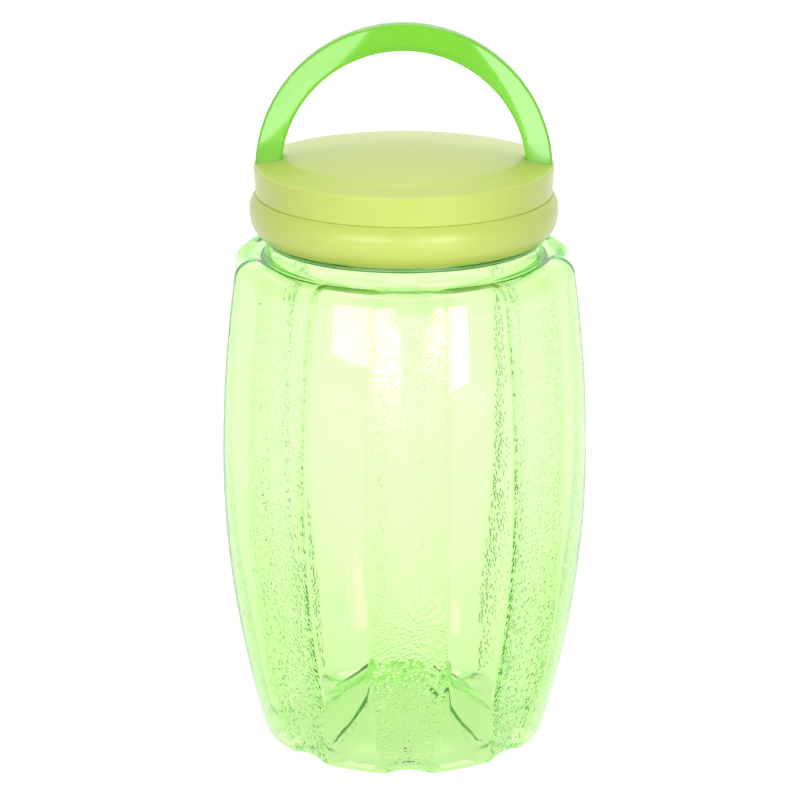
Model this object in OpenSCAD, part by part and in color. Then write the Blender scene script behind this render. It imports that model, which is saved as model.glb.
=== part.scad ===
// Plastic storage jar with a screw cap and an arched carrying handle.
// Origin at the middle of the standing ring, Z up, one strip facing -Y, handle along X.

/* [Jar body] */
// Widest diameter, measured over the panels
body_d = 144; // [136:1:152]
// Height of the widest place
widest_z = 112.6; // [100:0.2:125]
// Diameter that the panels run down to at the base
foot_d = 111; // [106:1:118]
// Diameter that the panels run up to at the shoulder
shoulder_d = 131; // [126:1:136]
// Height of the panels' crown at the shoulder
shoulder_z = 196; // [180:0.2:220]
// Radius of the panels' corner at the shoulder
corner_r = 6; // [4:0.5:7]
// Radius of the heel round the base
heel_r = 3; // [2:0.5:5]
// Wall of the blown body
wall = 1; // [0.8:0.1:1.6]
// Height of the push-up in the middle of the base
push_h = 11; // [6:0.5:16]
// Width of the standing ring
stand_w = 6.5; // [4:0.5:9]

/* [Recessed strips] */
// Number of strips round the body
strip_count = 8; // [6:1:8]
// Width of a strip
strip_w = 27; // [20:0.5:30]
// Width of a strip where it turns under the base
strip_foot_w = 17.4; // [12:0.2:19]
// Height over which a strip widens from the base
strip_taper_h = 32; // [20:1:50]
// Depth of a strip below the panels
strip_depth = 1.8; // [1.2:0.1:3]
// Radius under the base where the strips run out
strip_end_r = 33; // [31:0.5:38]

/* [Neck] */
// Outside diameter of the plain neck under the cap
neck_d = 106; // [102:1:108]
// Height of the neck over the shoulder's floor
neck_h = 23.8; // [21:0.2:28]
// Wall of the mouth
mouth_wall = 1.6; // [1.2:0.1:2.2]
// How far the mouth steps in above the bead, which leaves room for the thread
thread_room = 1.4; // [1:0.1:2]
// Fillet at the root of the neck
root_r = 1.2; // [0.6:0.2:2]
// Height of the bead under the cap
bead_h = 1.5; // [1:0.1:2.5]
// How far the bead stands out
bead_out = 0.6; // [0.3:0.1:1]

/* [Screw cap] */
// Height of the cap's lower edge over the shoulder's floor
cap_stand = 8.9; // [6:0.1:11]
// Wall of the cap's skirt at its lower edge
skirt_wall = 1.4; // [1.2:0.1:2]
// How far the skirt swells beyond its lower edge
skirt_swell = 4; // [2.5:0.1:5]
// Height of the swell over the skirt's lower edge
swell_h = 10.4; // [8:0.2:12]
// How far the skirt's upper edge stands out beyond its lower edge
skirt_top_out = 2; // [1.7:0.1:2.4]
// Height of the seam with the cover over the jar's lip
seam_over_lip = 0.8; // [0.4:0.1:1.4]
// Wall of the spigot that the cover is pressed on
spigot_wall = 1.6; // [1.2:0.1:1.8]
// Thickness of the plate over the mouth
plate_t = 1.8; // [1.4:0.1:2.6]
// How far the snap bead stands out of the spigot
snap_out = 0.3; // [0.2:0.05:0.4]
// Height of the snap bead
snap_h = 0.8; // [0.6:0.1:1]
// Angle at which the cap comes tight on the neck
cap_set = -2.9; // [-10:0.1:10]

/* [Sealing liner] */
// Thickness of the liner
liner_t = 2; // [1.5:0.1:3]

/* [Cap cover] */
// Height of the cover's side band
band_h = 11.1; // [10:0.1:14]
// Wall of the side band at the seam
band_wall = 1.2; // [1:0.1:1.6]
// How far the band leans out at the rim
band_lean = 0.8; // [0.2:0.1:1.2]
// Rounding of the rim
rim_r = 0.9; // [0.5:0.1:1.2]
// Thickness of the deck and the dome
deck_t = 1.6; // [1.2:0.1:2]
// Width of the sloping deck round the dome
deck_w = 11.4; // [11:0.1:13]
// Rise of the deck from the rim to the dome
deck_rise = 2.4; // [1.6:0.1:3.2]
// Step at the edge of the dome
dome_step = 0.6; // [0.3:0.1:1.2]
// Rise of the dome over its edge
dome_rise = 4.5; // [2.5:0.1:6]

/* [Carrying handle] */
// Thickness of the arch, measured along its radius
arch_t = 10.1; // [9.4:0.1:10.4]
// Depth of the arch from front to back
arch_depth = 9; // [7.5:0.5:14]
// Rounding of the arch's edges
arch_edge_r = 1.2; // [0.6:0.1:2]
// How far the arch's foot lies in from the rim
arch_inset = 0.7; // [0.4:0.1:1]
// Depth of the arch's centre under the rim
arch_drop = 2.9; // [0:0.1:5]
// Thickness of the snap leg under each foot, along the radius
leg_t = 4; // [3:0.1:4.4]
// Width of the snap leg
leg_w = 6; // [4:0.5:7]
// How far the snap hook reaches outwards under the deck
hook_out = 0.9; // [0.6:0.1:1.1]
// Height of the snap hook
hook_h = 2; // [1.4:0.1:2.4]

/* [Fits] */
// Gap between pieces that move past each other
run_gap = 0.3; // [0.2:0.05:0.5]
// Gap round the thread, between the bead's line and the cap
thread_gap = 0.4; // [0.3:0.05:0.6]
// Gap between pieces that are pressed or snapped together
seat_gap = 0.08; // [0.05:0.01:0.15]
// Side gap of the snap legs in their slots
slot_gap = 0.2; // [0.1:0.05:0.4]

/* [Hidden] */
$fn = 96;

// Steps of the sampled curves
LOW_STEPS = 5;
HIGH_STEPS = 4;
ARC_STEPS = 3;
BASE_STEPS = 5;
FACE_STEPS = 10;
// Cuts run past the faces they cut by this much
over = 1;

// Body heights and radii
floor_z = shoulder_z - strip_depth;
stand_in = foot_d / 2 - heel_r - stand_w;
foot_in = (body_d - foot_d) / 2;
shoulder_in = (body_d - shoulder_d) / 2;

// Neck heights and radii
neck_r = neck_d / 2;
lip_r = neck_r - thread_room;
mouth_r = lip_r - mouth_wall;
lip_z = floor_z + neck_h;
lip_edge = mouth_wall / 4;
crown_under = wall / 4;
crown_fall = strip_depth + crown_under;
strip_top_r = mouth_r + mouth_wall / 2;
neck_root_z = floor_z - wall / 2;
root_step = wall / 6;

// Cap heights and radii
cap_z = floor_z + cap_stand;
cap_in_r = neck_r + bead_out + thread_gap - run_gap;
skirt_r = cap_in_r + skirt_wall;
seam_z = lip_z + seam_over_lip;
spigot_r = cap_in_r + spigot_wall;
plate_z = lip_z + liner_t + 2 * run_gap;
snap_z = plate_z + plate_t / 2;

// Cover heights and radii
band_in_r = spigot_r + seat_gap;
band_r = band_in_r + band_wall;
rim_out_r = band_r + band_lean;
rim_z = seam_z + band_h;
dome_r = rim_out_r - deck_w;
deck_slope = deck_rise / (deck_w - rim_r);

// Handle sizes
arch_out_r = rim_out_r - arch_inset;
arch_mid_r = arch_out_r - arch_t / 2;
arch_z = rim_z - arch_drop;
leg_out_r = arch_mid_r + leg_t / 2;
leg_z = plate_z + plate_t + run_gap;

// Radius of the panels' face at a height: it draws in from the widest place to the foot and to the shoulder
function barrel(z) =
    let (
        low = z < widest_z,
        draw_in = low ? foot_in : shoulder_in,
        reach = low ? widest_z : shoulder_z - widest_z
    )
    body_d / 2 - draw_in * pow((z - widest_z) / reach, 2);

// Height of the base's underside at a radius
function push(r) = push_h * (1 + cos(180 * r / stand_in)) / 2;

// Skin of the body from the middle of the base to the shoulder, set in from the panels' outer face
function skin(inset, depth) =
    let (
        lift = inset + depth,
        low = lift + heel_r,
        high = shoulder_z - lift - corner_r
    )
    concat(
        [[0, push(stand_in / BASE_STEPS) + lift]],
        [for (k = [1 : BASE_STEPS])
            let (r = stand_in * k / BASE_STEPS)
            [r, push(r) + lift]],
        [for (k = [0 : ARC_STEPS])
            let (a = 90 * k / ARC_STEPS, z = lift + heel_r * (1 - cos(a)))
            [barrel(z) - lift - heel_r * (1 - sin(a)), z]],
        [for (k = [1 : LOW_STEPS])
            let (z = low + (widest_z - low) * k / LOW_STEPS)
            [barrel(z) - lift, z]],
        [for (k = [1 : HIGH_STEPS - 1])
            let (z = widest_z + (high - widest_z) * k / HIGH_STEPS)
            [barrel(z) - lift, z]],
        [for (k = [0 : ARC_STEPS])
            let (a = 90 * k / ARC_STEPS, z = high + corner_r * sin(a))
            [barrel(z) - lift - corner_r * (1 - cos(a)), z]]
    );

// Crown of the panels, which rolls over from the shoulder to the neck and ends just under the strips' floor
function crown(inset) =
    let (start_r = barrel(shoulder_z - inset) - inset - corner_r)
    [for (k = [1 : ARC_STEPS])
        [start_r + (neck_r - start_r) * k / ARC_STEPS,
            shoulder_z - inset - crown_fall * (1 - cos(90 * k / ARC_STEPS))]];

// Outline of one strip seen from the front, widened by a margin and drawn out towards -Y
module strip_prism(margin) {
    half = strip_w / 2 + margin;
    foot_half = strip_foot_w / 2 + margin;
    low_half = foot_half - (half - foot_half) * over / strip_taper_h;
    translate([0, margin - strip_end_r, 0])
        rotate([90, 0, 0])
        linear_extrude(height = body_d)
        polygon([
            [-low_half, -over],
            [low_half, -over],
            [half, strip_taper_h],
            [half, shoulder_z + over],
            [-half, shoulder_z + over],
            [-half, strip_taper_h]
        ]);
}

// What one strip takes away from the panels, down to its floor
module strip_cut(inset) {
    difference() {
        strip_prism(inset);
        rotate([0, 0, 90])
            rotate_extrude()
            polygon(concat(
                skin(inset, strip_depth),
                [
                    [strip_top_r, floor_z - inset],
                    [strip_top_r, shoulder_z + 2 * over],
                    [0, shoulder_z + 2 * over]
                ]
            ));
    }
}

// Barrel with its strips, set in from the outer face and closed by the points given for its top
module fluted(inset, top) {
    difference() {
        rotate([0, 0, 180 / strip_count])
            rotate_extrude()
            polygon(concat(skin(inset, 0), crown(inset), top));
        for (k = [0 : strip_count - 1])
            rotate([0, 0, 360 * k / strip_count])
            strip_cut(inset);
    }
}

// Neck with its root fillet, the bead under the cap and the lip
module neck() {
    bead_top = cap_z - run_gap;
    bead_r = neck_r + bead_out;
    rotate_extrude()
        polygon(concat(
            [[0, neck_root_z], [neck_r + root_r, neck_root_z]],
            [for (k = [0 : ARC_STEPS])
                let (a = 90 * k / ARC_STEPS)
                [neck_r + root_r * (1 - sin(a)), floor_z + root_step + root_r * (1 - cos(a))]],
            [
                [neck_r, bead_top - bead_h - bead_out],
                [bead_r, bead_top - bead_h],
                [bead_r, bead_top],
                [lip_r, bead_top],
                [lip_r, lip_z - lip_edge],
                [lip_r - lip_edge, lip_z],
                [0, lip_z]
            ]
        ));
}

module jar_body() {
    color([0.84, 0.97, 0.7, 0.6])
        difference() {
            union() {
                fluted(0, [[0, floor_z - crown_under]]);
                neck();
            }
            fluted(wall, [
                [mouth_r, floor_z - crown_under - wall],
                [mouth_r, lip_z + over],
                [0, lip_z + over]
            ]);
        }
}

module cap_liner() {
    color("ivory")
        translate([0, 0, lip_z + run_gap])
        cylinder(r = cap_in_r - run_gap, h = liner_t);
}

// Radius of the skirt's swollen face at a height over its lower edge
function skirt_face(h) =
    let (
        top_h = seam_z - cap_z,
        below = pow(max(0, (swell_h - h) / swell_h), 3),
        above = pow(max(0, (h - swell_h) / (top_h - swell_h)), 2)
    )
    skirt_r + skirt_swell * (1 - below) - (skirt_swell - skirt_top_out) * above;

module screw_cap() {
    edge = skirt_wall / 4;
    plate_top = plate_z + plate_t;
    snap_r = spigot_r + snap_out;
    color([0.84, 0.91, 0.47])
        rotate([0, 0, cap_set])
        rotate_extrude()
        polygon(concat(
            [
                [0, plate_z],
                [cap_in_r, plate_z],
                [cap_in_r, cap_z + edge],
                [cap_in_r + edge, cap_z]
            ],
            [for (k = [0 : FACE_STEPS])
                let (h = (seam_z - cap_z) * k / FACE_STEPS)
                [skirt_face(h), cap_z + h]],
            [
                [spigot_r, seam_z],
                [spigot_r, snap_z - snap_h / 2],
                [snap_r, snap_z],
                [spigot_r, snap_z + snap_h / 2],
                [spigot_r, plate_top - edge],
                [spigot_r - edge, plate_top],
                [0, plate_top]
            ]
        ));
}

// Height of the deck's upper face at a radius
function deck(r) = rim_z + deck_slope * (rim_out_r - rim_r - r);

// Height of the dome's upper face at a radius
function dome(r) = deck(dome_r) + dome_step + dome_rise * (1 - pow(r / (dome_r - dome_step), 2));

// Slot in the deck that lets a snap leg through while the arch is squeezed
module leg_slot() {
    half = leg_w / 2 + slot_gap;
    reach = leg_t + hook_out + 2 * slot_gap;
    translate([leg_out_r + slot_gap - reach, -half, rim_z - 2 * deck_t])
        cube([reach, 2 * half, 4 * deck_t + deck_rise]);
}

module cap_cover() {
    snap_r = band_in_r + snap_out;
    step_in = dome_r - dome_step;
    under_r = dome_r - deck_t;
    color([0.84, 0.9, 0.5])
        rotate([0, 0, cap_set])
        difference() {
            rotate_extrude()
                polygon(concat(
                    [
                        [band_in_r, seam_z + seat_gap],
                        [band_r, seam_z + seat_gap]
                    ],
                    [for (k = [0 : ARC_STEPS])
                        let (a = 90 * k / ARC_STEPS)
                        [rim_out_r - rim_r * (1 - cos(a)), rim_z - rim_r * (1 - sin(a))]],
                    [[dome_r, deck(dome_r)]],
                    [for (k = [0 : FACE_STEPS])
                        let (r = step_in * (1 - k / FACE_STEPS))
                        [r, dome(r)]],
                    [for (k = [0 : FACE_STEPS])
                        let (r = under_r * k / FACE_STEPS)
                        [r, dome(r) - deck_t]],
                    [
                        [dome_r, deck(dome_r) - deck_t],
                        [band_in_r, deck(band_in_r) - deck_t],
                        [band_in_r, snap_z + snap_h / 2 + seat_gap],
                        [snap_r, snap_z],
                        [band_in_r, snap_z - snap_h / 2 - seat_gap]
                    ]
                ));
            for (side = [0, 180])
                rotate([0, 0, side])
                leg_slot();
        }
}

// Corners of a rectangle with rounded edges, standing on its middle
function rounded(w, h, r) =
    [for (c = [0 : 3], k = [0 : ARC_STEPS])
        let (
            a = 90 * (c + k / ARC_STEPS),
            sx = c == 0 || c == 3 ? 1 : -1,
            sy = c < 2 ? 1 : -1
        )
        [sx * (w / 2 - r) + r * cos(a), sy * (h / 2 - r) + r * sin(a)]];

// Everything under the cover's deck, which the feet of the arch stand on
module under_deck() {
    far_r = rim_out_r + over;
    rotate_extrude()
        polygon([
            [0, seam_z - arch_out_r],
            [far_r, seam_z - arch_out_r],
            [far_r, deck(far_r) + seat_gap],
            [dome_r, deck(dome_r) + seat_gap],
            [0, deck(dome_r) + seat_gap]
        ]);
}

// Snap leg with its hook, from the foot down through the deck
module snap_leg() {
    hook_z = deck(leg_out_r) - deck_t - seat_gap;
    hook_end_z = deck(leg_out_r + hook_out) - deck_t - seat_gap;
    translate([0, leg_w / 2, 0])
        rotate([90, 0, 0])
        linear_extrude(height = leg_w)
        polygon([
            [leg_out_r - leg_t, leg_z],
            [leg_out_r, leg_z],
            [leg_out_r, hook_z - hook_h],
            [leg_out_r + hook_out, hook_end_z - hook_h / 2],
            [leg_out_r + hook_out, hook_end_z],
            [leg_out_r, hook_z],
            [leg_out_r, deck(leg_out_r) + deck_t],
            [leg_out_r - leg_t, deck(leg_out_r) + deck_t]
        ]);
}

module carry_handle() {
    color([0.55, 0.88, 0.25, 0.85])
        rotate([0, 0, cap_set])
        union() {
            difference() {
                translate([0, 0, arch_z])
                    rotate([90, 0, 0])
                    rotate_extrude(angle = 180)
                    translate([arch_mid_r, 0])
                    polygon(rounded(arch_t, arch_depth, arch_edge_r));
                under_deck();
            }
            for (side = [0, 180])
                rotate([0, 0, side])
                snap_leg();
        }
}

jar_body();
cap_liner();
screw_cap();
cap_cover();
carry_handle();
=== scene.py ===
"""Visual model of a wide-mouth plastic storage jar, built round the packed solids, in metres."""

import math

import bmesh
import bpy
from bpy.props import FloatProperty, IntProperty, PointerProperty, StringProperty
from bpy.types import Operator, Panel, PropertyGroup
from mathutils import Euler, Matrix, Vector


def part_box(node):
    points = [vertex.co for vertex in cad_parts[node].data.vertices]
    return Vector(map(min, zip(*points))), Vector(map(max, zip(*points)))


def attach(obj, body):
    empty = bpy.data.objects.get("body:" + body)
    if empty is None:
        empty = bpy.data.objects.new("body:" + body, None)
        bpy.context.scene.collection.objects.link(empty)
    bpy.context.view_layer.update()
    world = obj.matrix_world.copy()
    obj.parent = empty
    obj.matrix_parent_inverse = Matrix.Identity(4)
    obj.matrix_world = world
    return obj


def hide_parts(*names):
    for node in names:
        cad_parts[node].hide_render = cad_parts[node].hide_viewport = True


bl_info = {
    "name": "Plastic storage jar",
    "version": (1, 0, 0),
    "blender": (4, 5, 0),
    "location": "View3D > Sidebar > Jar",
    "description": "Builds a tinted storage jar with its screw cap, domed cover and carrying handle",
    "category": "Object",
}

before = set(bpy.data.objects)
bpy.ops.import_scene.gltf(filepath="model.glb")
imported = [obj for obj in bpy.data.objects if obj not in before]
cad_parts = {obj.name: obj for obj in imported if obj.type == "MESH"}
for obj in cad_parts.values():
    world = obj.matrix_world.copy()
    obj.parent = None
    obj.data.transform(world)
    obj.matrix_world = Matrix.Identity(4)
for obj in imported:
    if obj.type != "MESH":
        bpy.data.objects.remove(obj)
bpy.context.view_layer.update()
MM = 0.001
LIP_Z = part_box("jar_body")[1].z
CAP_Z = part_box("screw_cap")[0].z
SEAM_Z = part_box("cap_cover")[0].z
LINER_LOW, LINER_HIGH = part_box("cap_liner")

# Half a sector runs from the middle of a strip to the middle of a panel. Its columns, the shares of them
# that lie inside the strip's edge and up to the edge's far side, and where that edge begins and ends, in
# half widths of the strip
HALF_COLUMNS = 16
COLUMNS_IN = 8 / HALF_COLUMNS
COLUMNS_OUT = 13 / HALF_COLUMNS
EDGE_IN = 0.85
EDGE_OUT = 1.1
# The most of half a sector that a strip may take, and how softly its hollow meets the panels
EDGE_MOST = 0.72
EDGE_SOFT = 0.3
# Across a strip, in half widths: where the grain ends, where it comes to its full strength, and what it
# has of that along the middle
GRAIN_END = (0.97, 1.06)
GRAIN_FULL = (0.3, 0.75)
GRAIN_MIDDLE = 0.6
# Rows of the skin on the base, the standing ring, the heel, the wall, the corner and the shoulder
BASE_ROWS = 36
RING_ROWS = 5
HEEL_ROWS = 8
WALL_ROWS = 64
CORNER_ROWS = 10
SHOULDER_ROWS = 8
# Share of the base's radius up to which its middle is thick
THICK_MIDDLE = 0.6
# A groove's share of its width at the inner end, its runs in and out, and the run on to the strip
GROOVE_NARROW = 0.25
GROOVE_RUN_IN = 6 * MM
GROOVE_RUN_OUT = 3 * MM
GROOVE_TO_STRIP = 2 * MM
# Rows of the cap's skirt, of the dome and of the dome's underside, and where the dome's own curve begins
SKIRT_ROWS = 24
DOME_ROWS = 32
UNDER_ROWS = 24
DOME_EDGE = 0.94
# Points along a swept path, the share of a thread ridge that tapers at each end, and its size at the tip
PATH_ROWS = 160
RIDGE_TAPER = 0.14
RIDGE_TIP = 0.05


def length(label, words, mm):
    """A size in metres, given in millimetres."""
    return FloatProperty(name=label, description=words, default=mm * MM, precision=5, unit="LENGTH")


def number(label, words, value):
    """A plain number."""
    return FloatProperty(name=label, description=words, default=value)


def degrees(label, words, value):
    """An angle in radians, given in degrees."""
    return FloatProperty(name=label, description=words, default=math.radians(value), subtype="ANGLE")


def colour(label, words, code):
    """A colour as an sRGB hex code."""
    return StringProperty(name=label, description=words, default=code)


class JarSizes(PropertyGroup):
    """Sizes of the blown jar."""

    body_d: length("Body", "Widest diameter over the panels", 144)
    widest_z: length("Widest height", "Height of the widest place", 112.6)
    foot_d: length("Foot", "Diameter that the panels run down to", 111)
    shoulder_d: length("Shoulder", "Diameter that the panels run up to", 131)
    shoulder_z: length("Shoulder height", "Height of the panels' crown", 196)
    corner_r: length("Corner", "Radius of the corner at the shoulder", 6)
    heel_r: length("Heel", "Radius of the heel round the base", 3)
    wall: length("Wall", "Wall of the blown body", 1)
    base_wall: length("Base wall", "Wall in the middle of the base, which blowing leaves thicker", 2.2)
    push_h: length("Push-up", "Height of the push-up under the base", 23)
    stand_w: length("Standing ring", "Width of the standing ring", 6.5)
    strip_count: IntProperty(name="Strips", description="Recessed strips round the body", default=8)
    strip_w: length("Strip", "Width of a strip", 27)
    strip_foot_w: length("Strip foot", "Width of a strip at the base", 17.4)
    strip_taper_h: length("Strip taper", "Height over which a strip widens", 32)
    strip_depth: length("Strip depth", "Depth of a strip below the panels at the shoulder", 1.8)
    strip_foot: number("Foot share", "Share of that depth at the foot", 0.8)
    strip_mid: number("Middle share", "Share of that depth up the wall", 1.9)
    strip_mid_z: length("Middle height", "Height where a strip comes to its middle depth", 45)
    strip_top_z: length("Strip top", "Height where a strip and its grain begin to run out", 186)
    hollow: number("Hollow", "Power of the curve across a strip", 2.0)
    grain_foot: number("Foot grain", "Strength of the grain low down", 1.4)
    grain_top: number("Top grain", "Strength of the grain higher up", 0.75)
    grain_foot_z: length("Foot grain height", "Height up to which the grain is strongest", 60)
    grain_top_z: length("Top grain height", "Height from which the grain is faintest", 150)
    grain_end_z: length("Grain end", "Height where the grain ends", 192)
    shine_z: length("Shine height", "Height from which the strips shine", 90)
    foot_wall: length("Foot wall", "What the wall is thicker by near the foot", 0.45)
    foot_wall_z: length("Foot wall height", "Height up to which the wall is so thick", 30)
    thin_wall_z: length("Thin wall height", "Height from which the wall is plain", 120)
    groove_in: length("Groove start", "Radius under the base where the grooves start", 14)
    groove_out: length("Groove end", "Radius under the base where the grooves end", 39)
    groove_w: length("Groove", "Width of a groove at its outer end", 3.4)
    neck_d: length("Neck", "Diameter of the plain neck", 106)
    neck_wall: length("Neck wall", "Wall of the plain neck", 1.3)
    mouth_wall: length("Mouth wall", "Wall of the mouth", 1.6)
    thread_room: length("Thread room", "How far the mouth steps in for the thread", 1.4)
    root_r: length("Neck root", "Fillet at the root of the neck", 2.2)
    root_wall: length("Neck root wall", "Wall at the root of the neck, which blowing does not stretch", 2.8)
    cap_gap: length("Cap gap", "Gap between the bead and the cap", 0.3)
    bead_h: length("Bead", "Height of the bead under the cap", 1.5)
    bead_out: length("Bead reach", "How far the bead stands out", 0.6)


class ThreadSizes(PropertyGroup):
    """Sizes of the screw thread between neck and cap."""

    starts: IntProperty(name="Starts", description="Ridges round the neck", default=3)
    lead: length("Lead", "Rise in one full turn", 18)
    sweep: degrees("Sweep", "Turn of one ridge", 125)
    ridge_h: length("Ridge", "Height of a ridge at its root", 2.2)
    ridge_out: length("Ridge reach", "How far a ridge stands out", 1.4)
    low: length("Neck start", "Height of the neck's ridges over the cap's lower edge", 6.2)
    cap_drop: length("Cap offset", "How far the cap's ridges lie under the neck's", 3)


class CapSizes(PropertyGroup):
    """Sizes of the screw cap and its cover."""

    inside_r: length("Inside", "Radius inside the skirt", 53.7)
    skirt_wall: length("Skirt wall", "Wall of the skirt at its lower edge", 1.4)
    swell: length("Swell", "How far the skirt swells out", 4)
    swell_h: length("Swell height", "Height of the swell over the lower edge", 10.4)
    top_out: length("Skirt top", "How far the skirt's upper edge stands out", 2)
    spigot_wall: length("Spigot", "Wall of the spigot under the cover", 1.6)
    plate_t: length("Plate", "Thickness of the plate over the mouth", 1.8)
    plate_gap: length("Plate gap", "Gap between the liner and the plate", 0.3)
    seam: length("Seam", "Gap of the seam under the cover", 0.08)
    band_wall: length("Band", "Wall of the cover's side band", 1.2)
    band_h: length("Band height", "Height of the cover's side band", 11.1)
    band_lean: length("Band lean", "How far the band leans out", 0.8)
    rim_r: length("Rim", "Rounding of the rim", 0.9)
    deck_t: length("Deck", "Thickness of deck and dome", 1.6)
    deck_w: length("Deck width", "Width of the sloping deck", 11.4)
    deck_rise: length("Deck rise", "Rise of the deck to the dome", 2.4)
    dome_step: length("Dome step", "Soft step at the edge of the dome", 0.3)
    step_reach: length("Step reach", "How far the step is blended into deck and dome", 1.2)
    step_r: length("Step rounding", "Rounding of the step", 6)
    dome_rise: length("Dome rise", "Rise of the dome over its edge", 4.8)


class HandleSizes(PropertyGroup):
    """Sizes of the arched handle."""

    arch_t: length("Thickness", "Thickness of the arch along its radius", 10.1)
    arch_depth: length("Depth", "Depth from front to back at the inner edge", 9)
    arch_outer: length("Outer depth", "Depth from front to back at the outer edge", 6)
    edge_r: length("Edge", "Rounding of the edges", 1.2)
    inset: length("Inset", "How far the feet lie in from the rim", 0.7)
    drop: length("Drop", "Depth of the arch's centre under the rim", 2.9)
    foot_rise: degrees("Foot", "Angle at which the arch ends inside the deck", 2.2)
    turn: degrees("Turn", "Angle at which the cap comes tight", -2.9)


class Finishes(PropertyGroup):
    """Colours of the finishes."""

    pet: colour("PET", "White light after one wall of the jar", "EEFDDC")
    cap: colour("Cap", "Colour of the cap and its cover", "CDDD64")
    handle: colour("Handle", "Colour of the handle", "8FE83A")
    foam: colour("Foam", "Colour of the liner", "F0EFE6")
    paper: colour("Paper", "Colour of the floor", "AEAEAC")


class StageSizes(PropertyGroup):
    """Place of the camera, and light of the floor and the world."""

    distance: length("Distance", "Camera's distance over the floor", 1083.1)
    height: length("Height", "Camera's height", 479.1)
    azimuth: degrees("Azimuth", "Camera round the jar", -2.0)
    aside: degrees("Aside", "Turn beside the axis", 0.08)
    pitch: degrees("Pitch", "Tilt below level", 17.617)
    lens: number("Lens", "Focal length in millimetres on a 36 mm frame", 130.84)
    floor: length("Floor", "Half the width of the floor", 6000)
    glow: number("Floor glow", "Light of the floor where it is seen", 0.84)
    fill: number("Fill", "Light of the world on the jar", 0.4)
    room: number("Room", "Light of the room in front of the jar where it is reflected", 0.45)


GROUPS = {
    "jar_sizes": JarSizes,
    "thread_sizes": ThreadSizes,
    "cap_sizes": CapSizes,
    "handle_sizes": HandleSizes,
    "finishes": Finishes,
    "stage_sizes": StageSizes,
}


def linear(code):
    """Linear RGBA of an sRGB hex code."""
    parts = [int(code[k : k + 2], 16) / 255 for k in (0, 2, 4)]
    return [v / 12.92 if v <= 0.04045 else ((v + 0.055) / 1.055) ** 2.4 for v in parts] + [1.0]


def add(tree, kind, links=None, **settings):
    """Adds a node with its settings, and sets or links its inputs."""
    made = tree.nodes.new(kind)
    for key, value in settings.items():
        setattr(made, key, value)
    for key, value in (links or {}).items():
        if isinstance(value, bpy.types.NodeSocket):
            tree.links.new(value, made.inputs[key])
        else:
            made.inputs[key].default_value = value
    return made


def smooth(low, high, value):
    """Smooth step from 0 at low to 1 at high."""
    t = min(1.0, max(0.0, (value - low) / (high - low)))
    return t * t * (3 - 2 * t)


def fillet_path(corners, steps=6):
    """Points along a path of (r, z, radius) corners, each corner rounded by its radius."""
    points = []
    for k, (r, z, radius) in enumerate(corners):
        here = Vector((r, z))
        if radius <= 0 or k in (0, len(corners) - 1):
            points.append(here)
            continue
        back = (Vector(corners[k - 1][:2]) - here).normalized()
        ahead = (Vector(corners[k + 1][:2]) - here).normalized()
        half = back.angle(ahead) / 2
        centre = here + (back + ahead).normalized() * (radius / math.sin(half))
        start = here + back * (radius / math.tan(half)) - centre
        end = here + ahead * (radius / math.tan(half)) - centre
        turn = start.angle_signed(end)
        for step in range(steps + 1):
            a = -turn * step / steps
            c, s = math.cos(a), math.sin(a)
            points.append(centre + Vector((c * start.x - s * start.y, s * start.x + c * start.y)))
    return points


def supported(points, reach=0.35 * MM, longest=4 * MM):
    """The same path with points close to the ends of its long runs, so that shading stays flat there."""
    out = [points[0]]
    for a, b in zip(points, points[1:]):
        run = (b - a).length
        if run > 4 * reach:
            count = max(1, math.ceil((run - 2 * reach) / longest))
            for k in range(count + 1):
                out.append(a.lerp(b, (reach + (run - 2 * reach) * k / count) / run))
        if run > 1e-7:
            out.append(b)
    return out


def begun_tree(name, **sockets):
    """A new node tree with its named inputs and its output, and the inputs' sockets."""
    tree = bpy.data.node_groups.new(name, "GeometryNodeTree")
    for label, kind in sockets.items():
        tree.interface.new_socket(label, in_out="INPUT", socket_type="NodeSocket" + kind)
    tree.interface.new_socket("Geometry", in_out="OUTPUT", socket_type="NodeSocketGeometry")
    return tree, add(tree, "NodeGroupInput").outputs


def ended_tree(tree, shape, material):
    """The node tree closed: the shape shaded smooth, made real and given its material."""
    soft = add(tree, "GeometryNodeSetShadeSmooth", {"Geometry": shape, "Shade Smooth": True}).outputs[0]
    real = add(tree, "GeometryNodeRealizeInstances", {"Geometry": soft}).outputs[0]
    dressed = add(tree, "GeometryNodeSetMaterial", {"Geometry": real, "Material": material}).outputs[0]
    add(tree, "NodeGroupOutput", {"Geometry": dressed})
    return tree


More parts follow.
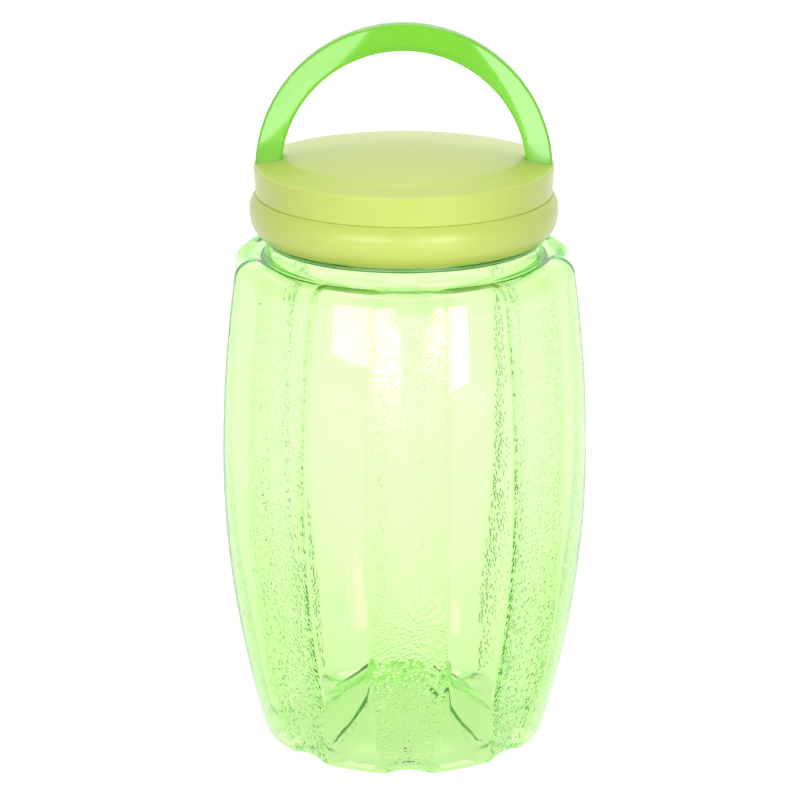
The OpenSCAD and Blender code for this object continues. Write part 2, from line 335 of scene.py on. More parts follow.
def turned_wall_tree():
    """Node tree that turns a profile round the axis and sinks the strips into it."""
    tree, given = begun_tree(
        "Turned wall",
        Geometry="Geometry",
        Sectors="Int",
        Columns="Int",
        Hollow="Float",
        Material="Material",
    )
    counted = add(tree, "GeometryNodeAttributeDomainSize", {"Geometry": given["Geometry"]})
    rows = counted.outputs["Point Count"]
    links = {0: given["Sectors"], 1: given["Columns"]}
    around = add(tree, "ShaderNodeMath", links, operation="MULTIPLY").outputs[0]
    columns = add(tree, "ShaderNodeMath", {0: around, 1: 1.0}, operation="ADD").outputs[0]
    links = {"Size X": 1.0, "Size Y": 1.0, "Vertices X": columns, "Vertices Y": rows}
    grid = add(tree, "GeometryNodeMeshGrid", links).outputs["Mesh"]
    place = add(tree, "GeometryNodeInputPosition").outputs[0]
    flat = add(tree, "ShaderNodeSeparateXYZ", {0: place}).outputs
    last = add(tree, "ShaderNodeMath", {0: rows, 1: 1.0}, operation="SUBTRACT").outputs[0]
    up = add(tree, "ShaderNodeMath", {0: flat["Y"], 1: 0.5}, operation="ADD").outputs[0]
    run = add(tree, "ShaderNodeMath", {0: up, 1: last}, operation="MULTIPLY").outputs[0]
    row = add(tree, "ShaderNodeMath", {0: run}, operation="ROUND").outputs[0]

    def sampled(value, kind):
        links = {"Geometry": given["Geometry"], "Value": value, "Index": row}
        return add(tree, "GeometryNodeSampleIndex", links, data_type=kind, domain="POINT").outputs[0]

    def named(name, kind):
        kept = add(tree, "GeometryNodeInputNamedAttribute", {"Name": name}, data_type=kind)
        return sampled(kept.outputs[0], kind)

    panel = add(tree, "ShaderNodeSeparateXYZ", {0: sampled(place, "FLOAT_VECTOR")}).outputs
    sunk = add(tree, "ShaderNodeSeparateXYZ", {0: named("sunk", "FLOAT_VECTOR")}).outputs
    edge, grain, groove = (named(name, "FLOAT") for name in ("edge", "grain", "groove"))

    # Turn counted in sectors, with each strip in the middle of its sector
    across = add(tree, "ShaderNodeMath", {0: flat["X"], 1: 0.5}, operation="ADD").outputs[0]
    turn = add(tree, "ShaderNodeMath", {0: across, 1: given["Sectors"]}, operation="MULTIPLY").outputs[0]
    whole = add(tree, "ShaderNodeMath", {0: turn}, operation="FLOOR").outputs[0]
    part = add(tree, "ShaderNodeMath", {0: turn}, operation="FRACT").outputs[0]
    side = add(tree, "ShaderNodeMath", {0: part, 1: 2.0, 2: -1.0}, operation="MULTIPLY_ADD").outputs[0]
    share = add(tree, "ShaderNodeMath", {0: side}, operation="ABSOLUTE").outputs[0]
    hand = add(tree, "ShaderNodeMath", {0: side}, operation="SIGN").outputs[0]

    # Angle from the middle of the strip: columns lie close together over the strip's edge
    links = {0: math.pi, 1: given["Sectors"]}
    half_turn = add(tree, "ShaderNodeMath", links, operation="DIVIDE").outputs[0]
    inner = add(tree, "ShaderNodeMath", {0: edge, 1: EDGE_IN}, operation="MULTIPLY").outputs[0]
    outer = add(tree, "ShaderNodeMath", {0: edge, 1: EDGE_OUT}, operation="MULTIPLY").outputs[0]
    step = add(tree, "ShaderNodeMath", {0: outer, 1: inner}, operation="SUBTRACT").outputs[0]
    rest = add(tree, "ShaderNodeMath", {0: half_turn, 1: outer}, operation="SUBTRACT").outputs[0]
    legs = []
    stops = (0.0, COLUMNS_IN, COLUMNS_OUT, 1.0)
    for low, high, reach in zip(stops, stops[1:], (inner, step, rest)):
        links = {0: share, 1: low, 2: high, 3: 0.0, 4: reach}
        legs.append(add(tree, "ShaderNodeMapRange", links).outputs[0])
    two = add(tree, "ShaderNodeMath", {0: legs[0], 1: legs[1]}, operation="ADD").outputs[0]
    off = add(tree, "ShaderNodeMath", {0: two, 1: legs[2]}, operation="ADD").outputs[0]
    full = add(tree, "ShaderNodeMath", {0: half_turn, 1: 2.0}, operation="MULTIPLY").outputs[0]
    middle = add(tree, "ShaderNodeMath", {0: whole, 1: full}, operation="MULTIPLY").outputs[0]
    angle = add(tree, "ShaderNodeMath", {0: hand, 1: off, 2: middle}, operation="MULTIPLY_ADD").outputs[0]
    # Section of a strip: a hollow, deepest in the middle, with its edges rounded a little
    reached = add(tree, "ShaderNodeMath", {0: off, 1: edge}, operation="DIVIDE").outputs[0]
    climb = add(tree, "ShaderNodeMath", {0: reached, 1: given["Hollow"]}, operation="POWER").outputs[0]
    bowl = add(tree, "ShaderNodeMath", {0: 1.0, 1: climb}, operation="SUBTRACT").outputs[0]
    dip = add(tree, "ShaderNodeMath", {0: bowl, 1: 0.0, 2: EDGE_SOFT}, operation="SMOOTH_MAX").outputs[0]
    # The grain ends at the strip's edge and is fainter along the middle
    links = {0: reached, 1: GRAIN_END[0], 2: GRAIN_END[1], 3: 1.0, 4: 0.0}
    ended = add(tree, "ShaderNodeMapRange", links).outputs[0]
    links = {0: reached, 1: GRAIN_FULL[0], 2: GRAIN_FULL[1], 3: GRAIN_MIDDLE, 4: 1.0}
    laid = add(tree, "ShaderNodeMapRange", links).outputs[0]
    field = add(tree, "ShaderNodeMath", {0: ended, 1: laid}, operation="MULTIPLY").outputs[0]
    # Under the base every second strip has a groove in line with it
    odd = add(tree, "ShaderNodeMath", {0: whole, 1: 2.0}, operation="MODULO").outputs[0]
    missed = add(tree, "ShaderNodeMath", {0: 1.0, 1: odd}, operation="SUBTRACT").outputs[0]
    dropped = add(tree, "ShaderNodeMath", {0: missed, 1: groove}, operation="MULTIPLY").outputs[0]
    share_left = add(tree, "ShaderNodeMath", {0: 1.0, 1: dropped}, operation="SUBTRACT").outputs[0]
    mask = add(tree, "ShaderNodeMath", {0: dip, 1: share_left}, operation="MULTIPLY").outputs[0]

    # Place on the wall
    links = {0: mask, 1: sunk["X"], 2: panel["X"]}
    radius = add(tree, "ShaderNodeMath", links, operation="MULTIPLY_ADD").outputs[0]
    links = {0: mask, 1: sunk["Z"], 2: panel["Z"]}
    height = add(tree, "ShaderNodeMath", links, operation="MULTIPLY_ADD").outputs[0]
    sine = add(tree, "ShaderNodeMath", {0: angle}, operation="SINE").outputs[0]
    cosine = add(tree, "ShaderNodeMath", {0: angle}, operation="COSINE").outputs[0]
    x = add(tree, "ShaderNodeMath", {0: radius, 1: sine}, operation="MULTIPLY").outputs[0]
    forward = add(tree, "ShaderNodeMath", {0: radius, 1: cosine}, operation="MULTIPLY").outputs[0]
    y = add(tree, "ShaderNodeMath", {0: forward, 1: -1.0}, operation="MULTIPLY").outputs[0]
    spot = add(tree, "ShaderNodeCombineXYZ", {0: x, 1: y, 2: height}).outputs[0]
    grained = add(tree, "ShaderNodeMath", {0: field, 1: grain}, operation="MULTIPLY").outputs[0]
    links = {"Geometry": grid, "Name": "strip_grain", "Value": grained}
    kept = add(tree, "GeometryNodeStoreNamedAttribute", links, data_type="FLOAT", domain="POINT").outputs[0]
    wall = add(tree, "GeometryNodeSetPosition", {"Geometry": kept, "Position": spot}).outputs[0]
    closed = add(tree, "GeometryNodeMergeByDistance", {"Geometry": wall, "Distance": 1e-6}).outputs[0]
    return ended_tree(tree, closed, given["Material"])


def thread_tree():
    """Node tree for the ridges of a screw thread, tapered at both ends."""
    tree, given = begun_tree(
        "Thread ridges",
        Starts="Int",
        Turns="Float",
        Rise="Float",
        Radius="Float",
        Low="Float",
        Height="Float",
        Reach="Float",
        Material="Material",
    )
    links = {"Resolution": PATH_ROWS, "Rotations": given["Turns"], "Height": given["Rise"], "Reverse": True}
    links.update({"Start Radius": given["Radius"], "End Radius": given["Radius"]})
    path = add(tree, "GeometryNodeCurveSpiral", links).outputs[0]
    level = add(tree, "GeometryNodeSetCurveNormal", {"Curve": path}, mode="Z_UP").outputs[0]
    along = add(tree, "GeometryNodeSplineParameter").outputs["Factor"]
    links = {0: along, 1: 0.0, 2: RIDGE_TAPER, 3: RIDGE_TIP, 4: 1.0}
    start = add(tree, "ShaderNodeMapRange", links, interpolation_type="SMOOTHSTEP").outputs[0]
    links = {0: along, 1: 1 - RIDGE_TAPER, 2: 1.0, 3: 1.0, 4: RIDGE_TIP}
    end = add(tree, "ShaderNodeMapRange", links, interpolation_type="SMOOTHSTEP").outputs[0]
    taper = add(tree, "ShaderNodeMath", {0: start, 1: end}, operation="MULTIPLY").outputs[0]
    links = {"Resolution": 12, "Radius": 1.0}
    ridge = add(tree, "GeometryNodeCurvePrimitiveCircle", links, mode="RADIUS").outputs[0]
    size = add(tree, "ShaderNodeCombineXYZ", {0: given["Reach"], 1: given["Height"], 2: 1.0}).outputs[0]
    section = add(tree, "GeometryNodeTransform", {"Geometry": ridge, "Scale": size}).outputs[0]
    links = {"Curve": level, "Profile Curve": section, "Scale": taper, "Fill Caps": True}
    swept = add(tree, "GeometryNodeCurveToMesh", links).outputs[0]
    points = add(tree, "GeometryNodePoints", {"Count": given["Starts"]}).outputs[0]
    index = add(tree, "GeometryNodeInputIndex").outputs[0]
    pitch = add(tree, "ShaderNodeMath", {0: math.tau, 1: given["Starts"]}, operation="DIVIDE").outputs[0]
    turn = add(tree, "ShaderNodeMath", {0: index, 1: pitch}, operation="MULTIPLY").outputs[0]
    turned = add(tree, "ShaderNodeCombineXYZ", {2: turn}).outputs[0]
    links = {"Points": points, "Instance": swept, "Rotation": turned}
    ridges = add(tree, "GeometryNodeInstanceOnPoints", links).outputs[0]
    lift = add(tree, "ShaderNodeCombineXYZ", {2: given["Low"]}).outputs[0]
    raised = add(tree, "GeometryNodeTransform", {"Geometry": ridges, "Translation": lift}).outputs[0]
    return ended_tree(tree, raised, given["Material"])


def arch_tree():
    """Node tree for a bar of rounded section bent into an arch."""
    tree, given = begun_tree(
        "Arched bar",
        Radius="Float",
        Foot="Float",
        Thickness="Float",
        Inner="Float",
        Outer="Float",
        Edge="Float",
        Centre="Vector",
        Turn="Vector",
        Material="Material",
    )
    links = {0: given["Foot"], 1: -2.0, 2: math.pi}
    sweep = add(tree, "ShaderNodeMath", links, operation="MULTIPLY_ADD").outputs[0]
    links = {"Resolution": PATH_ROWS, "Radius": given["Radius"]}
    links.update({"Start Angle": given["Foot"], "Sweep Angle": sweep})
    path = add(tree, "GeometryNodeCurveArc", links, mode="RADIUS").outputs[0]
    level = add(tree, "GeometryNodeSetCurveNormal", {"Curve": path}, mode="Z_UP").outputs[0]
    links = {"Height": given["Thickness"], "Bottom Width": given["Inner"]}
    links.update({"Top Width": given["Outer"], "Offset": 0.0})
    block = add(tree, "GeometryNodeCurvePrimitiveQuadrilateral", links, mode="TRAPEZOID").outputs[0]
    links = {"Curve": block, "Count": 6, "Radius": given["Edge"], "Limit Radius": True}
    section = add(tree, "GeometryNodeFilletCurve", links, mode="POLY").outputs[0]
    links = {"Geometry": section, "Rotation": (0.0, 0.0, -math.pi / 2)}
    across = add(tree, "GeometryNodeTransform", links).outputs[0]
    links = {"Curve": level, "Profile Curve": across, "Fill Caps": True}
    swept = add(tree, "GeometryNodeCurveToMesh", links).outputs[0]
    links = {"Geometry": swept, "Translation": given["Centre"], "Rotation": given["Turn"]}
    stood = add(tree, "GeometryNodeTransform", links).outputs[0]
    return ended_tree(tree, stood, given["Material"])


def node_tree(name, make):
    """The named node tree, made once."""
    return bpy.data.node_groups.get(name) or make()


def grown(name, mesh, tree, **inputs):
    """A plain mesh object grown from a start mesh by a node tree with the inputs given."""
    obj = bpy.data.objects.new(name, mesh)
    bpy.context.scene.collection.objects.link(obj)
    modifier = obj.modifiers.new(tree.name, "NODES")
    modifier.node_group = tree
    for item in tree.interface.items_tree:
        if item.item_type == "SOCKET" and item.in_out == "INPUT" and item.name in inputs:
            modifier[item.identifier] = inputs[item.name]
    graph = bpy.context.evaluated_depsgraph_get()
    shown = obj.evaluated_get(graph)
    made = bpy.data.meshes.new_from_object(shown, preserve_all_data_layers=True, depsgraph=graph)
    obj.modifiers.remove(modifier)
    obj.data = made
    made.name = name
    bpy.data.meshes.remove(mesh)
    shape = bmesh.new()
    shape.from_mesh(made)
    bmesh.ops.remove_doubles(shape, verts=shape.verts, dist=1e-7)
    bmesh.ops.recalc_face_normals(shape, faces=shape.faces)
    shape.to_mesh(made)
    shape.free()
    if not made.polygons:
        raise RuntimeError(f"{name} has no faces")
    return obj


def profile_mesh(name, rows):
    """Edge chain of (r, z, sunk r, sunk z, edge, grain, groove) rows, with attributes for the strips."""
    mesh = bpy.data.meshes.new(name)
    mesh.from_pydata([(r[0], 0, r[1]) for r in rows], [(k, k + 1) for k in range(len(rows) - 1)], [])
    sunk = mesh.attributes.new("sunk", "FLOAT_VECTOR", "POINT")
    sunk.data.foreach_set("vector", [v for r in rows for v in (r[2], 0.0, r[3])])
    for column, label in ((4, "edge"), (5, "grain"), (6, "groove")):
        values = mesh.attributes.new(label, "FLOAT", "POINT")
        values.data.foreach_set("value", [r[column] for r in rows])
    return mesh


def plain_rows(points, sectors):
    """Rows of a piece without strips, spaced evenly round the axis."""
    edge = math.pi / sectors * COLUMNS_IN / EDGE_IN
    return [(p.x, p.y, 0.0, 0.0, edge, 0.0, 0.0) for p in points]


def turned(name, points, material, sectors=48, columns=4):
    """A plain turned piece."""
    mesh = profile_mesh(name + "_profile", plain_rows(points, sectors))
    tree = node_tree("Turned wall", turned_wall_tree)
    return grown(name, mesh, tree, Sectors=sectors, Columns=columns, Material=material)


def thread_ridges(name, radius, low, material):
    """The ridges of the screw thread on the neck or in the cap, from a height up."""
    s = bpy.context.scene.thread_sizes
    return grown(
        name,
        bpy.data.meshes.new(name + "_start"),
        node_tree("Thread ridges", thread_tree),
        Starts=s.starts,
        Turns=s.sweep / math.tau,
        Rise=s.lead * s.sweep / math.tau,
        Radius=radius,
        Low=low,
        Height=s.ridge_h / 2,
        Reach=s.ridge_out,
        Material=material,
    )


def fitted(obj, body, slot, *nodes):
    """Lets a piece ride on its body and stand for its solids; its slot is not used."""
    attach(obj, body)
    if nodes:
        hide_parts(*nodes)


def new_material(name):
    """A new material with only its shader and output."""
    made = bpy.data.materials.new(name)
    made.use_nodes = True
    made.node_tree.nodes.clear()
    shader = add(made.node_tree, "ShaderNodeBsdfPrincipled")
    add(made.node_tree, "ShaderNodeOutputMaterial", {"Surface": shader.outputs[0]}, name="output")
    return made, made.node_tree, shader.inputs


def absorb(tree, code, path):
    """Takes up light inside a material, so that white becomes the colour of the hex code over a path."""
    loss = [-math.log(v) / path for v in linear(code)[:3]]
    density = max(loss)
    left = [1 - v / density for v in loss] + [1.0]
    inside = add(tree, "ShaderNodeVolumeAbsorption", {"Color": left, "Density": density}).outputs[0]
    tree.links.new(inside, tree.nodes["output"].inputs["Volume"])


def seen_rays(tree):
    """Light Path's outputs, and 1 for the rays by which the background is seen, also in the plastic."""
    rays = add(tree, "ShaderNodeLightPath").outputs
    links = {0: rays["Is Camera Ray"], 1: rays["Is Glossy Ray"]}
    direct = add(tree, "ShaderNodeMath", links, operation="ADD").outputs[0]
    links = {0: direct, 1: rays["Is Transmission Ray"]}
    return rays, add(tree, "ShaderNodeMath", links, operation="ADD", use_clamp=True).outputs[0]


def pet_tinted():
    """Clear blown PET with a green tint: bright, hard reflections, and moulded grain on the strips."""
    found = bpy.data.materials.get("PET, blown, tinted green")
    if found:
        return found
    sizes = bpy.context.scene.jar_sizes
    made, tree, shader = new_material("PET, blown, tinted green")
    shader["Base Color"].default_value = (1.0, 1.0, 1.0, 1.0)
    shader["Transmission Weight"].default_value = 1.0
    shader["IOR"].default_value = 1.57
    shader["Roughness"].default_value = 0.03
    absorb(tree, bpy.context.scene.finishes.pet, sizes.wall)
    # Moulded hammer grain: one raised blister to each cell, 1.7 mm across
    spot = add(tree, "ShaderNodeTexCoord").outputs["Object"]
    cells = add(tree, "ShaderNodeTexVoronoi", {"Vector": spot, "Scale": 590.0}).outputs["Distance"]
    links = {0: cells, 1: 0.1, 2: 0.6, 3: 1.0, 4: 0.0}
    blister = add(tree, "ShaderNodeMapRange", links, interpolation_type="SMOOTHSTEP").outputs[0]
    mask = add(tree, "ShaderNodeAttribute", attribute_name="strip_grain").outputs["Fac"]
    height = add(tree, "ShaderNodeMath", {0: blister, 1: mask}, operation="MULTIPLY").outputs[0]
    # Slow waves that blowing leaves in the wall, about 25 mm long
    waves = add(tree, "ShaderNodeTexNoise", {"Vector": spot, "Scale": 40.0, "Detail": 1.0}).outputs["Fac"]
    links = {"Strength": 0.15, "Distance": 0.4 * MM, "Height": waves}
    swell = add(tree, "ShaderNodeBump", links).outputs[0]
    links = {"Strength": 1.0, "Distance": 0.25 * MM, "Height": height, "Normal": swell}
    tree.links.new(add(tree, "ShaderNodeBump", links).outputs[0], shader["Normal"])
    # Higher up the blisters are flatter on top, so the strips also have an even shine there
    links = {"Strength": 1.0, "Distance": 0.05 * MM, "Height": height, "Normal": swell}
    tree.links.new(add(tree, "ShaderNodeBump", links).outputs[0], shader["Coat Normal"])
    level = add(tree, "ShaderNodeSeparateXYZ", {0: spot}).outputs["Z"]
    links = {0: level, 1: sizes.shine_z, 2: sizes.grain_top_z, 3: 0.0, 4: 1.0}
    high = add(tree, "ShaderNodeMapRange", links).outputs[0]
    shine = add(tree, "ShaderNodeMath", {0: mask, 1: high}, operation="MULTIPLY").outputs[0]
    tree.links.new(shine, shader["Coat Weight"])
    shader["Coat Roughness"].default_value = 0.1
    shader["Coat IOR"].default_value = 1.57
    return made


def pp_satin():
    """Moulded polypropylene for the cap: satin, a little milky, with fine spark grain."""
    found = bpy.data.materials.get("PP, moulded, satin")
    if found:
        return found
    made, tree, shader = new_material("PP, moulded, satin")
    spot = add(tree, "ShaderNodeTexCoord").outputs["Object"]
    # Flow clouds about 30 mm across
    cloud = add(tree, "ShaderNodeTexNoise", {"Vector": spot, "Scale": 33.0, "Detail": 2.0}).outputs["Fac"]
    base = linear(bpy.context.scene.finishes.cap)
    pale = [min(1.0, v * 1.03) for v in base[:3]] + [1.0]
    deep = [v * 0.97 for v in base[:3]] + [1.0]
    tint = add(tree, "ShaderNodeMix", {0: cloud, 6: deep, 7: pale}, data_type="RGBA").outputs[2]
    tree.links.new(tint, shader["Base Color"])
    shader["Roughness"].default_value = 0.45
    shader["IOR"].default_value = 1.53
    shader["Coat Weight"].default_value = 0.6
    shader["Coat Roughness"].default_value = 0.25
    shader["Subsurface Weight"].default_value = 0.15
    shader["Subsurface Radius"].default_value = (1.0, 1.0, 0.5)
    shader["Subsurface Scale"].default_value = 2 * MM
    # Spark grain of the mould, drawn at 0.5 mm so that it shows
    fine = add(tree, "ShaderNodeTexNoise", {"Vector": spot, "Scale": 2000.0, "Detail": 2.0}).outputs["Fac"]
    links = {"Strength": 0.12, "Distance": 0.05 * MM, "Height": fine}
    tree.links.new(add(tree, "ShaderNodeBump", links).outputs[0], shader["Normal"])
    return made


def pp_clear():
    """Natural polypropylene dyed green for the handle: see-through in depth, with a glossy skin."""
    made, tree, shader = new_material("PP, moulded, green and see-through")
    shader["Base Color"].default_value = linear(bpy.context.scene.finishes.handle)
    shader["Transmission Weight"].default_value = 0.45
    shader["Roughness"].default_value = 0.07
    shader["IOR"].default_value = 1.58
    spot = add(tree, "ShaderNodeTexCoord").outputs["Object"]
    # Sink waves about 12 mm long
    waves = add(tree, "ShaderNodeTexNoise", {"Vector": spot, "Scale": 80.0, "Detail": 1.0}).outputs["Fac"]
    links = {"Strength": 0.1, "Distance": 0.3 * MM, "Height": waves}
    tree.links.new(add(tree, "ShaderNodeBump", links).outputs[0], shader["Normal"])
    return made


def epe_foam():
    """Expanded polyethylene foam for the liner: matt, with closed cells under the skin."""
    made, tree, shader = new_material("EPE foam")
    spot = add(tree, "ShaderNodeTexCoord").outputs["Object"]
    # Cells about 0.8 mm across
    cells = add(tree, "ShaderNodeTexVoronoi", {"Vector": spot, "Scale": 1250.0}).outputs["Distance"]
    base = linear(bpy.context.scene.finishes.foam)
    deep = [v * 0.92 for v in base[:3]] + [1.0]
    tint = add(tree, "ShaderNodeMix", {0: cells, 6: deep, 7: base}, data_type="RGBA").outputs[2]
    tree.links.new(tint, shader["Base Color"])
    shader["Roughness"].default_value = 0.8
    links = {"Strength": 0.4, "Distance": 0.1 * MM, "Height": cells}
    tree.links.new(add(tree, "ShaderNodeBump", links).outputs[0], shader["Normal"])
    return made


def barrel(s, z):
    """Radius of the panels' face at a height."""
    draw_in = (s.body_d - (s.foot_d if z < s.widest_z else s.shoulder_d)) / 2
    reach = s.widest_z if z < s.widest_z else s.shoulder_z - s.widest_z
    return s.body_d / 2 - draw_in * ((z - s.widest_z) / reach) ** 2


def stand_in(s):
    """Radius where the push-up meets the standing ring."""
    return s.foot_d / 2 - s.heel_r - s.stand_w


def underside(s, r):
    """Height of the base's underside at a radius."""
    return s.push_h * (1 + math.cos(math.pi * r / stand_in(s))) / 2


def strip_start(s, r):
    """Share of a strip's depth at a radius under the base, where it runs out inside the standing ring."""
    return smooth(s.groove_out + GROOVE_TO_STRIP, stand_in(s), r)


def skin(s, inset, depth):
    """Points of the skin from the middle of the base to the neck's root, at a depth under the panels."""
    lift = inset + depth
    stand = stand_in(s)
    low, high = lift + s.heel_r, s.shoulder_z - lift - s.corner_r
    points = []
    for k in range(BASE_ROWS + 1):
        r = stand * k / BASE_ROWS
        groove = smooth(s.groove_in, s.groove_in + GROOVE_RUN_IN, r)
        groove *= 1 - smooth(s.groove_out - GROOVE_RUN_OUT, s.groove_out, r)
        thick = (s.base_wall - s.wall) * (1 - smooth(THICK_MIDDLE * stand, stand, r)) if inset else 0.0
        points.append((r, underside(s, r) + inset + thick + depth * (groove + strip_start(s, r))))
    ring_r = barrel(s, lift) - lift - s.heel_r
    for k in range(1, RING_ROWS + 1):
        points.append((stand + (ring_r - stand) * k / RING_ROWS, lift))
    for k in range(1, HEEL_ROWS + 1):
        a = math.pi / 2 * k / HEEL_ROWS
        z = lift + s.heel_r * (1 - math.cos(a))
        points.append((barrel(s, z) - lift - s.heel_r * (1 - math.sin(a)), z))
    for k in range(1, WALL_ROWS):
        z = low + (high - low) * k / WALL_ROWS
        points.append((barrel(s, z) - lift, z))
    for k in range(CORNER_ROWS + 1):
        a = math.pi / 2 * k / CORNER_ROWS
        z = high + s.corner_r * math.sin(a)
        points.append((barrel(s, z) - lift - s.corner_r * (1 - math.cos(a)), z))
    start_r, end_r = points[-1][0], s.neck_d / 2 + s.root_r
    for k in range(1, SHOULDER_ROWS + 1):
        fall = (s.strip_depth - depth) * (1 - math.cos(math.pi / 2 * k / SHOULDER_ROWS))
        points.append((start_r + (end_r - start_r) * k / SHOULDER_ROWS, s.shoulder_z - lift - fall))
    return points


def half_width(s, r, z):
    """Half the width of a strip: a narrow groove under the base, then the strip, wider up the wall."""
    foot = s.strip_foot_w / 2
    if r < stand_in(s) and z < s.push_h + s.wall + s.strip_depth:
        along = max(0.0, (r - s.groove_in) / (s.groove_out - s.groove_in))
        groove = s.groove_w / 2 * (GROOVE_NARROW + (1 - GROOVE_NARROW) * along)
        return groove + (foot - groove) * smooth(s.groove_out, s.groove_out + GROOVE_TO_STRIP, r)
    return foot + (s.strip_w / 2 - foot) * min(1.0, max(0.0, z / s.strip_taper_h))


def strip_rows(s, inset):
    """Rows of the body's skin with its strips."""
    half_turn = math.pi / s.strip_count
    rows = []
    panels, floors = skin(s, inset, 0.0), skin(s, inset, s.strip_depth)
    for (r, z), (fr, fz) in zip(panels, floors):
        half = half_width(s, r, z) + inset
        if inset and r > stand_in(s):
            thicker = s.foot_wall * smooth(s.wall, 2 * s.heel_r, z)
            thicker *= 1 - smooth(s.foot_wall_z, s.thin_wall_z, z)
            r, fr = r - thicker, fr - thicker
        edge = min(math.asin(min(1.0, half / max(r, half))), EDGE_MOST * half_turn)
        deep = s.strip_foot + (s.strip_mid - s.strip_foot) * smooth(s.heel_r, s.strip_mid_z, z)
        deep += (1 - s.strip_mid) * smooth(s.strip_top_z, s.shoulder_z, z)
        grain = s.grain_foot + (s.grain_top - s.grain_foot) * smooth(s.grain_foot_z, s.grain_top_z, z)
        grain *= smooth(0, s.heel_r, z) * (1 - smooth(s.strip_top_z, s.grain_end_z, z))
        if inset:
            grain = 0.0
        groove = 1 - smooth(s.groove_out, s.groove_out + GROOVE_TO_STRIP, r)
        rows.append((r, z, deep * (fr - r), deep * (fz - z), edge, grain, groove))
    return rows


class JAR_OT_shell(Operator):
    """Builds the blown jar with its strips, neck, mouth and thread"""

    bl_idname = "jar.shell"
    bl_label = "Jar"

    def execute(self, context):
        s, thread = context.scene.jar_sizes, context.scene.thread_sizes
        floor_z = s.shoulder_z - s.strip_depth
        neck_r = s.neck_d / 2
        lip_r = neck_r - s.thread_room
        mouth_r = lip_r - s.mouth_wall
        bead_top, bead_r = CAP_Z - s.cap_gap, neck_r + s.bead_out
        outside, inside = strip_rows(s, 0.0), strip_rows(s, s.wall)
        neck = supported(
            fillet_path(
                [
                    (neck_r + s.root_r, floor_z, 0),
                    (neck_r, floor_z, 0.98 * s.root_r),
                    (neck_r, bead_top - s.bead_h - s.bead_out, 0.5 * MM),
                    (bead_r, bead_top - s.bead_h, 0.3 * MM),
                    (bead_r, bead_top, 0.3 * MM),
                    (lip_r, bead_top, 0.4 * MM),
                    (lip_r, LIP_Z, 0.6 * MM),
                    (mouth_r, LIP_Z, 0.6 * MM),
                    (mouth_r, bead_top, 0.8 * MM),
                    (neck_r - s.neck_wall, bead_top - s.bead_h, 0.8 * MM),
                    (neck_r - s.neck_wall, floor_z - s.root_wall, 1.2 * MM),
                    (neck_r + s.root_r, floor_z - s.wall, 0),
                ]
            )
        )
        neck_rows = [(p.x, p.y, 0.0, 0.0, outside[-1][4], 0.0, 0.0) for p in neck[1:-1]]
        shell = grown(
            "jar_shell",
            profile_mesh("jar_profile", outside + neck_rows + inside[::-1]),
            node_tree("Turned wall", turned_wall_tree),
            Sectors=s.strip_count,
            Columns=2 * HALF_COLUMNS,
            Hollow=s.hollow,
            Material=pet_tinted(),
        )
        fitted(shell, "jar", "jar_pet", "jar_body")
        ridges = thread_ridges("neck_thread", lip_r, CAP_Z + thread.low, pet_tinted())
        fitted(ridges, "jar", "jar_pet")
        return {"FINISHED"}


class JAR_OT_liner(Operator):
    """Builds the foam liner"""

    bl_idname = "jar.liner"
    bl_label = "Liner"

    def execute(self, context):
        low, high, r = LINER_LOW.z, LINER_HIGH.z, LINER_HIGH.x
        corners = [(0, low, 0), (r, low, 0.5 * MM), (r, high, 0.5 * MM), (0, high, 0)]
        disc = turned("liner_disc", supported(fillet_path(corners)), epe_foam())
        fitted(disc, "liner", "liner_foam", "cap_liner")
        return {"FINISHED"}


class JAR_OT_screw_cap(Operator):
    """Builds the screw cap with its swollen skirt, plate, spigot and thread"""

    bl_idname = "jar.screw_cap"
    bl_label = "Screw cap"

    def execute(self, context):
        s, thread = context.scene.cap_sizes, context.scene.thread_sizes
        skirt_r, seam_z = s.inside_r + s.skirt_wall, SEAM_Z - s.seam
        plate_z = LINER_HIGH.z + s.plate_gap
        top_h = seam_z - CAP_Z
        face = []
        for k in range(SKIRT_ROWS + 1):
            h = top_h * k / SKIRT_ROWS
            below = max(0.0, (s.swell_h - h) / s.swell_h) ** 3
            above = max(0.0, (h - s.swell_h) / (top_h - s.swell_h)) ** 2
            out = s.swell * (1 - below) - (s.swell - s.top_out) * above
            face.append(Vector((skirt_r + out, CAP_Z + h)))
        spigot_r = s.inside_r + s.spigot_wall
        inner = fillet_path(
            [
                (0, plate_z, 0),
                (s.inside_r, plate_z, 0.8 * MM),
                (s.inside_r, CAP_Z, 0.4 * MM),
                (face[0].x, CAP_Z, 0.5 * MM),
                (face[2].x, face[2].y, 0),
            ]
        )
        upper = fillet_path(
            [
                (face[-2].x, face[-2].y, 0),
                (face[-1].x, face[-1].y, 0.15 * MM),
                (spigot_r, seam_z, 0.2 * MM),
                (spigot_r, plate_z + s.plate_t, 0.4 * MM),
                (0, plate_z + s.plate_t, 0),
            ]
        )
        cap = turned("cap_skirt", supported(inner[:-1] + face[2:-2] + upper), pp_satin())
        fitted(cap, "cap", "cap_pp", "screw_cap")
        ridges = thread_ridges("cap_thread", s.inside_r, CAP_Z + thread.low - thread.cap_drop, pp_satin())
        fitted(ridges, "cap", "cap_pp")
        return {"FINISHED"}


